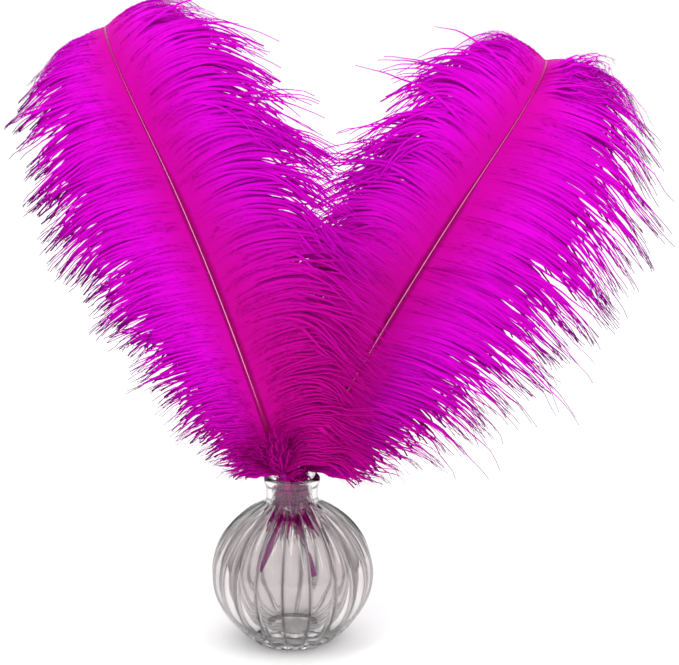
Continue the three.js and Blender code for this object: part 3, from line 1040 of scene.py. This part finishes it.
barbule_pair = make_barbule_pair()
barb_tree = make_barb_tree(make_barb_line_group())
barb_dye = dyed_barb()
for plume_index, (plume_name, line) in enumerate(lines.items()):
    for side in (-1, 1):
        where = side_name(plume_name, side)
        seed = BARB_SEED + plume_index * 100 + (side + 1) * 10
        chance = np.random.default_rng(seed)
        row = row_of_barbs(plume_name, side, chance)
        if (plume_name, where) == ("right", "outer"):
            row += stray_barbs(plume_name, side, chance)
            row += curly_barbs(plume_name, side, chance)
        for stretch_index, (stretch, start_s, end_s) in enumerate(STRETCHES):
            barbs = [barb for barb in row if start_s <= barb["height"] < end_s]
            piece = grow_barbs(f"{plume_name}_{where}_barbs_{stretch}", barbs, seed + stretch_index)
            if stretch == "bend":
                tuple(frame_on(line, FLEX_FROM)[0])
                tuple(frame_on(line, FLEX_TO)[0])
                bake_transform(piece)
            else:
                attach(piece, f"{plume_name}_plume" if stretch == "low" else f"{plume_name}_tip")
            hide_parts(*[lock.format(plume_name, where) for lock in LOCKS[stretch]])

# ---- Down at the foot of each plume ----
# Below the vane each quill keeps short soft down. Packed into the neck, it is all that holds the plumes
# up; a few ragged ends hang out under the neck. Above the lip the down stands out round the shaft.
TUFT_BARBS = 460
NECK_BARBS = 520
NECK_TOP, NECK_FOOT, DOWN_FOOT = 0.0950, 0.0720, 0.0570
NECK_ROOM, BOWL_ROOM = 0.0096, 0.0175
NECK_DEPTH, NECK_DRIFT, RAGGED_FOOT = 0.023, (-0.016, 0.010), 0.004
TUFT_FROM, TUFT_TO = 0.002, 0.014
TUFT_REACH = (0.012, 0.030)


def tuft_barbs(line, count, chance):
    """Soft down all round the foot of the shaft, which stands up out of the mouth and fans over the lip."""
    tuft = []
    for _ in range(count):
        s = chance.uniform(TUFT_FROM, TUFT_TO)
        at, along, across, face = frame_on(line, s)
        turn = chance.uniform(0, 2 * math.pi)
        out = math.cos(turn) * across + math.sin(turn) * face
        to_front = max(0.0, -out[1])
        start = unit(along * chance.uniform(0.32 + 0.5 * to_front, 1.5) + out)
        end = unit(out * (1 - 0.7 * to_front) + along * (0.25 + to_front) + DOWN * chance.uniform(0, 0.3))
        own = (at + out * shaft_radius(s) * 0.5, start, end, chance.uniform(*TUFT_REACH), unit(along - out))
        tuft.append(a_barb(own, own, s, tone=chance.random(), web=0.6, bare=0.0, fringe=1.1, ruffle=0.012))
    return tuft


def neck_barbs(line, count, chance):
    """Matted down round the quill, which fills the neck from the wall inwards."""
    packed = []
    for _ in range(count):
        s = -NECK_DEPTH * chance.random() ** 1.4
        at, along, across, face = frame_on(line, s)
        turn = chance.uniform(0, 2 * math.pi)
        height = at[2] + chance.uniform(*NECK_DRIFT)
        lowest = DOWN_FOOT + RAGGED_FOOT * chance.random()
        z = float(np.clip(height, lowest, NECK_TOP))
        room = NECK_ROOM + (BOWL_ROOM - NECK_ROOM) * rise(z, NECK_FOOT, DOWN_FOOT)
        radius = room * (1 - 0.5 * chance.random() ** 2)
        target = np.array([radius * math.cos(turn), radius * math.sin(turn), z])
        root = at + unit(np.array([*(target - at)[:2], 0])) * QUILL_RADIUS * 0.6
        way, bow = target - root, chance.normal(0, 0.12, 3)
        reach = float(np.linalg.norm(way))
        own = (root, way / reach + bow, way / reach - bow, reach, unit(chance.normal(0, 1, 3)))
        packed.append(a_barb(own, own, s, tone=chance.random(), web=0.8, bare=0.05, fringe=0.4))
    return packed


for plume_name, line in lines.items():
    seed = BARB_SEED + 300 + len(plume_name)
    packed = neck_barbs(line, NECK_BARBS, np.random.default_rng(seed))
    piece = grow_barbs(f"{plume_name}_neck_down", packed, seed)
    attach(piece, f"{plume_name}_quill")
    tuft = tuft_barbs(line, TUFT_BARBS, np.random.default_rng(seed + 50))
    piece = grow_barbs(f"{plume_name}_tuft", tuft, seed + 50)
    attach(piece, f"{plume_name}_plume")

bpy.data.objects.remove(barbule_pair)
